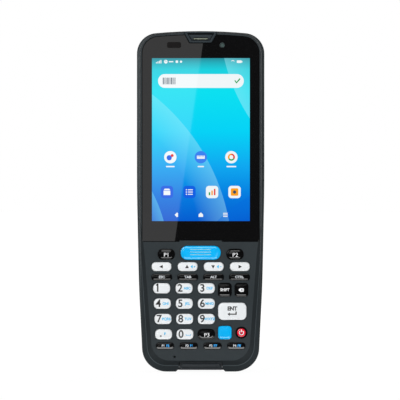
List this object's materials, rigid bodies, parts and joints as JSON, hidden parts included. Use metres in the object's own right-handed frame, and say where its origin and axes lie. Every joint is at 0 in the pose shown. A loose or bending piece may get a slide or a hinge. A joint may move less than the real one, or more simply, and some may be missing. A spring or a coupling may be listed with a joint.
{
  "type": "portable barcode data terminal",
  "caption": "Handheld barcode data terminal: tall display over a keypad in a rounded two-part case, with side scan triggers, hinged battery door and port door.",
  "frame": {"origin": "centre of the bottom end that the terminal stands on, under the middle of its box", "axes": "+Z towards the top end, -Y out of the display and keypad, +X to the user's right"},
  "size_m": [0.0684, 0.026, 0.1823],
  "materials": {
    "front_shell": "fine satin moulded",
    "rear_shell": "fine textured",
    "latch": "satin",
    "port_flap": "satin rubber over plastic",
    "cover_glass": "polished, black printed",
    "lcd_panel": "polished",
    "bezel": "satin",
    "black_part": "satin",
    "silicone": "matte",
    "circuit_board": "solder mask",
    "steel_spring": "bright",
    "tinned_steel": "tinned",
    "steel_shell": "plated",
    "screw_steel": "black oxide",
    "scan_glass": "tinted",
    "trigger_blue": "satin",
    "battery_case": "fine textured",
    "contact_gold": "gold plated",
    "camera_glass": "polished",
    "key_white": "satin gloss",
    "key_black": "gloss",
    "key_blue": "gloss",
    "key_red": "gloss"
  },
  "bodies": {
    "case": {"front_cover": "front_shell", "rear_cover": "rear_shell", "display_glass": "cover_glass", "lcd_module": "lcd_panel", "earpiece_bezel": "bezel", "earpiece_speaker": "black_part", "front_camera": "black_part", "keypad_mat": "silicone", "keypad_board": "circuit_board", "main_board": "circuit_board", "key_domes": "steel_spring", "shield_cans": "tinned_steel", "scan_engine": "black_part", "scan_window": "scan_glass", "trigger_switches": "black_part", "battery_pack": "battery_case", "battery_contacts": "contact_gold", "cradle_contacts": "contact_gold", "usb_connector": "steel_shell", "hinge_pins": "steel_shell", "rear_camera": "camera_glass", "loudspeaker": "black_part", "case_screws": "screw_steel"},
    "battery_door": {"battery_door": "rear_shell"},
    "battery_door_latch": {"battery_door_latch": "latch"},
    "io_door": {"io_door": "port_flap"},
    "left_scan_trigger": {"left_scan_trigger": "trigger_blue"},
    "right_scan_trigger": {"right_scan_trigger": "trigger_blue"},
    "key_p1": {"key_p1": "key_black"},
    "key_p2": {"key_p2": "key_black"},
    "key_scan": {"key_scan": "key_blue"},
    "key_left": {"key_left": "key_white"},
    "key_up": {"key_up": "key_white"},
    "key_down": {"key_down": "key_white"},
    "key_right": {"key_right": "key_white"},
    "key_esc": {"key_esc": "key_black"},
    "key_tab": {"key_tab": "key_black"},
    "key_alt": {"key_alt": "key_black"},
    "key_ctrl": {"key_ctrl": "key_black"},
    "key_1": {"key_1": "key_white"},
    "key_2": {"key_2": "key_white"},
    "key_3": {"key_3": "key_white"},
    "key_4": {"key_4": "key_white"},
    "key_5": {"key_5": "key_white"},
    "key_6": {"key_6": "key_white"},
    "key_7": {"key_7": "key_white"},
    "key_8": {"key_8": "key_white"},
    "key_9": {"key_9": "key_white"},
    "key_dot": {"key_dot": "key_white"},
    "key_0": {"key_0": "key_white"},
    "key_p3": {"key_p3": "key_black"},
    "key_shift": {"key_shift": "key_black"},
    "key_erase": {"key_erase": "key_black"},
    "key_enter": {"key_enter": "key_white"},
    "key_fn": {"key_fn": "key_blue"},
    "key_power": {"key_power": "key_red"},
    "key_f1": {"key_f1": "key_black"},
    "key_f2": {"key_f2": "key_black"},
    "key_f3": {"key_f3": "key_black"},
    "key_f4": {"key_f4": "key_black"}
  },
  "joints": [
    {"name": "battery_door_hinge", "type": "hinge", "parent": "case", "child": "battery_door", "pos_m": [0, 0.0096, 0.0196], "axis": [-1, 0, 0], "range_deg": [0, 85]},
    {"name": "battery_door_latch_slide", "type": "slide", "parent": "case", "child": "battery_door_latch", "axis": [0, 0, 1], "range_m": [-0.003, 0]},
    {"name": "io_door_hinge", "type": "hinge", "parent": "case", "child": "io_door", "pos_m": [0, 0.0066, 0.0022], "axis": [1, 0, 0], "range_deg": [0, 100]},
    {"name": "left_scan_trigger_press", "type": "slide", "parent": "case", "child": "left_scan_trigger", "axis": [1, 0, 0], "range_m": [0, 0.0005], "stiffness_N_per_m": 800},
    {"name": "right_scan_trigger_press", "type": "slide", "parent": "case", "child": "right_scan_trigger", "axis": [-1, 0, 0], "range_m": [0, 0.0005], "stiffness_N_per_m": 800},
    {"name": "key_p1_press", "type": "slide", "parent": "case", "child": "key_p1", "axis": [0, 1, 0], "range_m": [0, 0.0005], "stiffness_N_per_m": 500},
    {"name": "key_p2_press", "type": "slide", "parent": "case", "child": "key_p2", "axis": [0, 1, 0], "range_m": [0, 0.0005], "stiffness_N_per_m": 500},
    {"name": "key_scan_press", "type": "slide", "parent": "case", "child": "key_scan", "axis": [0, 1, 0], "range_m": [0, 0.0005], "stiffness_N_per_m": 500},
    {"name": "key_left_press", "type": "slide", "parent": "case", "child": "key_left", "axis": [0, 1, 0], "range_m": [0, 0.0005], "stiffness_N_per_m": 500},
    {"name": "key_up_press", "type": "slide", "parent": "case", "child": "key_up", "axis": [0, 1, 0], "range_m": [0, 0.0005], "stiffness_N_per_m": 500},
    {"name": "key_down_press", "type": "slide", "parent": "case", "child": "key_down", "axis": [0, 1, 0], "range_m": [0, 0.0005], "stiffness_N_per_m": 500},
    {"name": "key_right_press", "type": "slide", "parent": "case", "child": "key_right", "axis": [0, 1, 0], "range_m": [0, 0.0005], "stiffness_N_per_m": 500},
    {"name": "key_esc_press", "type": "slide", "parent": "case", "child": "key_esc", "axis": [0, 1, 0], "range_m": [0, 0.0005], "stiffness_N_per_m": 500},
    {"name": "key_tab_press", "type": "slide", "parent": "case", "child": "key_tab", "axis": [0, 1, 0], "range_m": [0, 0.0005], "stiffness_N_per_m": 500},
    {"name": "key_alt_press", "type": "slide", "parent": "case", "child": "key_alt", "axis": [0, 1, 0], "range_m": [0, 0.0005], "stiffness_N_per_m": 500},
    {"name": "key_ctrl_press", "type": "slide", "parent": "case", "child": "key_ctrl", "axis": [0, 1, 0], "range_m": [0, 0.0005], "stiffness_N_per_m": 500},
    {"name": "key_1_press", "type": "slide", "parent": "case", "child": "key_1", "axis": [0, 1, 0], "range_m": [0, 0.0005], "stiffness_N_per_m": 500},
    {"name": "key_2_press", "type": "slide", "parent": "case", "child": "key_2", "axis": [0, 1, 0], "range_m": [0, 0.0005], "stiffness_N_per_m": 500},
    {"name": "key_3_press", "type": "slide", "parent": "case", "child": "key_3", "axis": [0, 1, 0], "range_m": [0, 0.0005], "stiffness_N_per_m": 500},
    {"name": "key_4_press", "type": "slide", "parent": "case", "child": "key_4", "axis": [0, 1, 0], "range_m": [0, 0.0005], "stiffness_N_per_m": 500},
    {"name": "key_5_press", "type": "slide", "parent": "case", "child": "key_5", "axis": [0, 1, 0], "range_m": [0, 0.0005], "stiffness_N_per_m": 500},
    {"name": "key_6_press", "type": "slide", "parent": "case", "child": "key_6", "axis": [0, 1, 0], "range_m": [0, 0.0005], "stiffness_N_per_m": 500},
    {"name": "key_7_press", "type": "slide", "parent": "case", "child": "key_7", "axis": [0, 1, 0], "range_m": [0, 0.0005], "stiffness_N_per_m": 500},
    {"name": "key_8_press", "type": "slide", "parent": "case", "child": "key_8", "axis": [0, 1, 0], "range_m": [0, 0.0005], "stiffness_N_per_m": 500},
    {"name": "key_9_press", "type": "slide", "parent": "case", "child": "key_9", "axis": [0, 1, 0], "range_m": [0, 0.0005], "stiffness_N_per_m": 500},
    {"name": "key_dot_press", "type": "slide", "parent": "case", "child": "key_dot", "axis": [0, 1, 0], "range_m": [0, 0.0005], "stiffness_N_per_m": 500},
    {"name": "key_0_press", "type": "slide", "parent": "case", "child": "key_0", "axis": [0, 1, 0], "range_m": [0, 0.0005], "stiffness_N_per_m": 500},
    {"name": "key_p3_press", "type": "slide", "parent": "case", "child": "key_p3", "axis": [0, 1, 0], "range_m": [0, 0.0005], "stiffness_N_per_m": 500},
    {"name": "key_shift_press", "type": "slide", "parent": "case", "child": "key_shift", "axis": [0, 1, 0], "range_m": [0, 0.0005], "stiffness_N_per_m": 500},
    {"name": "key_erase_press", "type": "slide", "parent": "case", "child": "key_erase", "axis": [0, 1, 0], "range_m": [0, 0.0005], "stiffness_N_per_m": 500},
    {"name": "key_enter_press", "type": "slide", "parent": "case", "child": "key_enter", "axis": [0, 1, 0], "range_m": [0, 0.0005], "stiffness_N_per_m": 500},
    {"name": "key_fn_press", "type": "slide", "parent": "case", "child": "key_fn", "axis": [0, 1, 0], "range_m": [0, 0.0005], "stiffness_N_per_m": 500},
    {"name": "key_power_press", "type": "slide", "parent": "case", "child": "key_power", "axis": [0, 1, 0], "range_m": [0, 0.0005], "stiffness_N_per_m": 500},
    {"name": "key_f1_press", "type": "slide", "parent": "case", "child": "key_f1", "axis": [0, 1, 0], "range_m": [0, 0.0005], "stiffness_N_per_m": 500},
    {"name": "key_f2_press", "type": "slide", "parent": "case", "child": "key_f2", "axis": [0, 1, 0], "range_m": [0, 0.0005], "stiffness_N_per_m": 500},
    {"name": "key_f3_press", "type": "slide", "parent": "case", "child": "key_f3", "axis": [0, 1, 0], "range_m": [0, 0.0005], "stiffness_N_per_m": 500},
    {"name": "key_f4_press", "type": "slide", "parent": "case", "child": "key_f4", "axis": [0, 1, 0], "range_m": [0, 0.0005], "stiffness_N_per_m": 500}
  ]
}
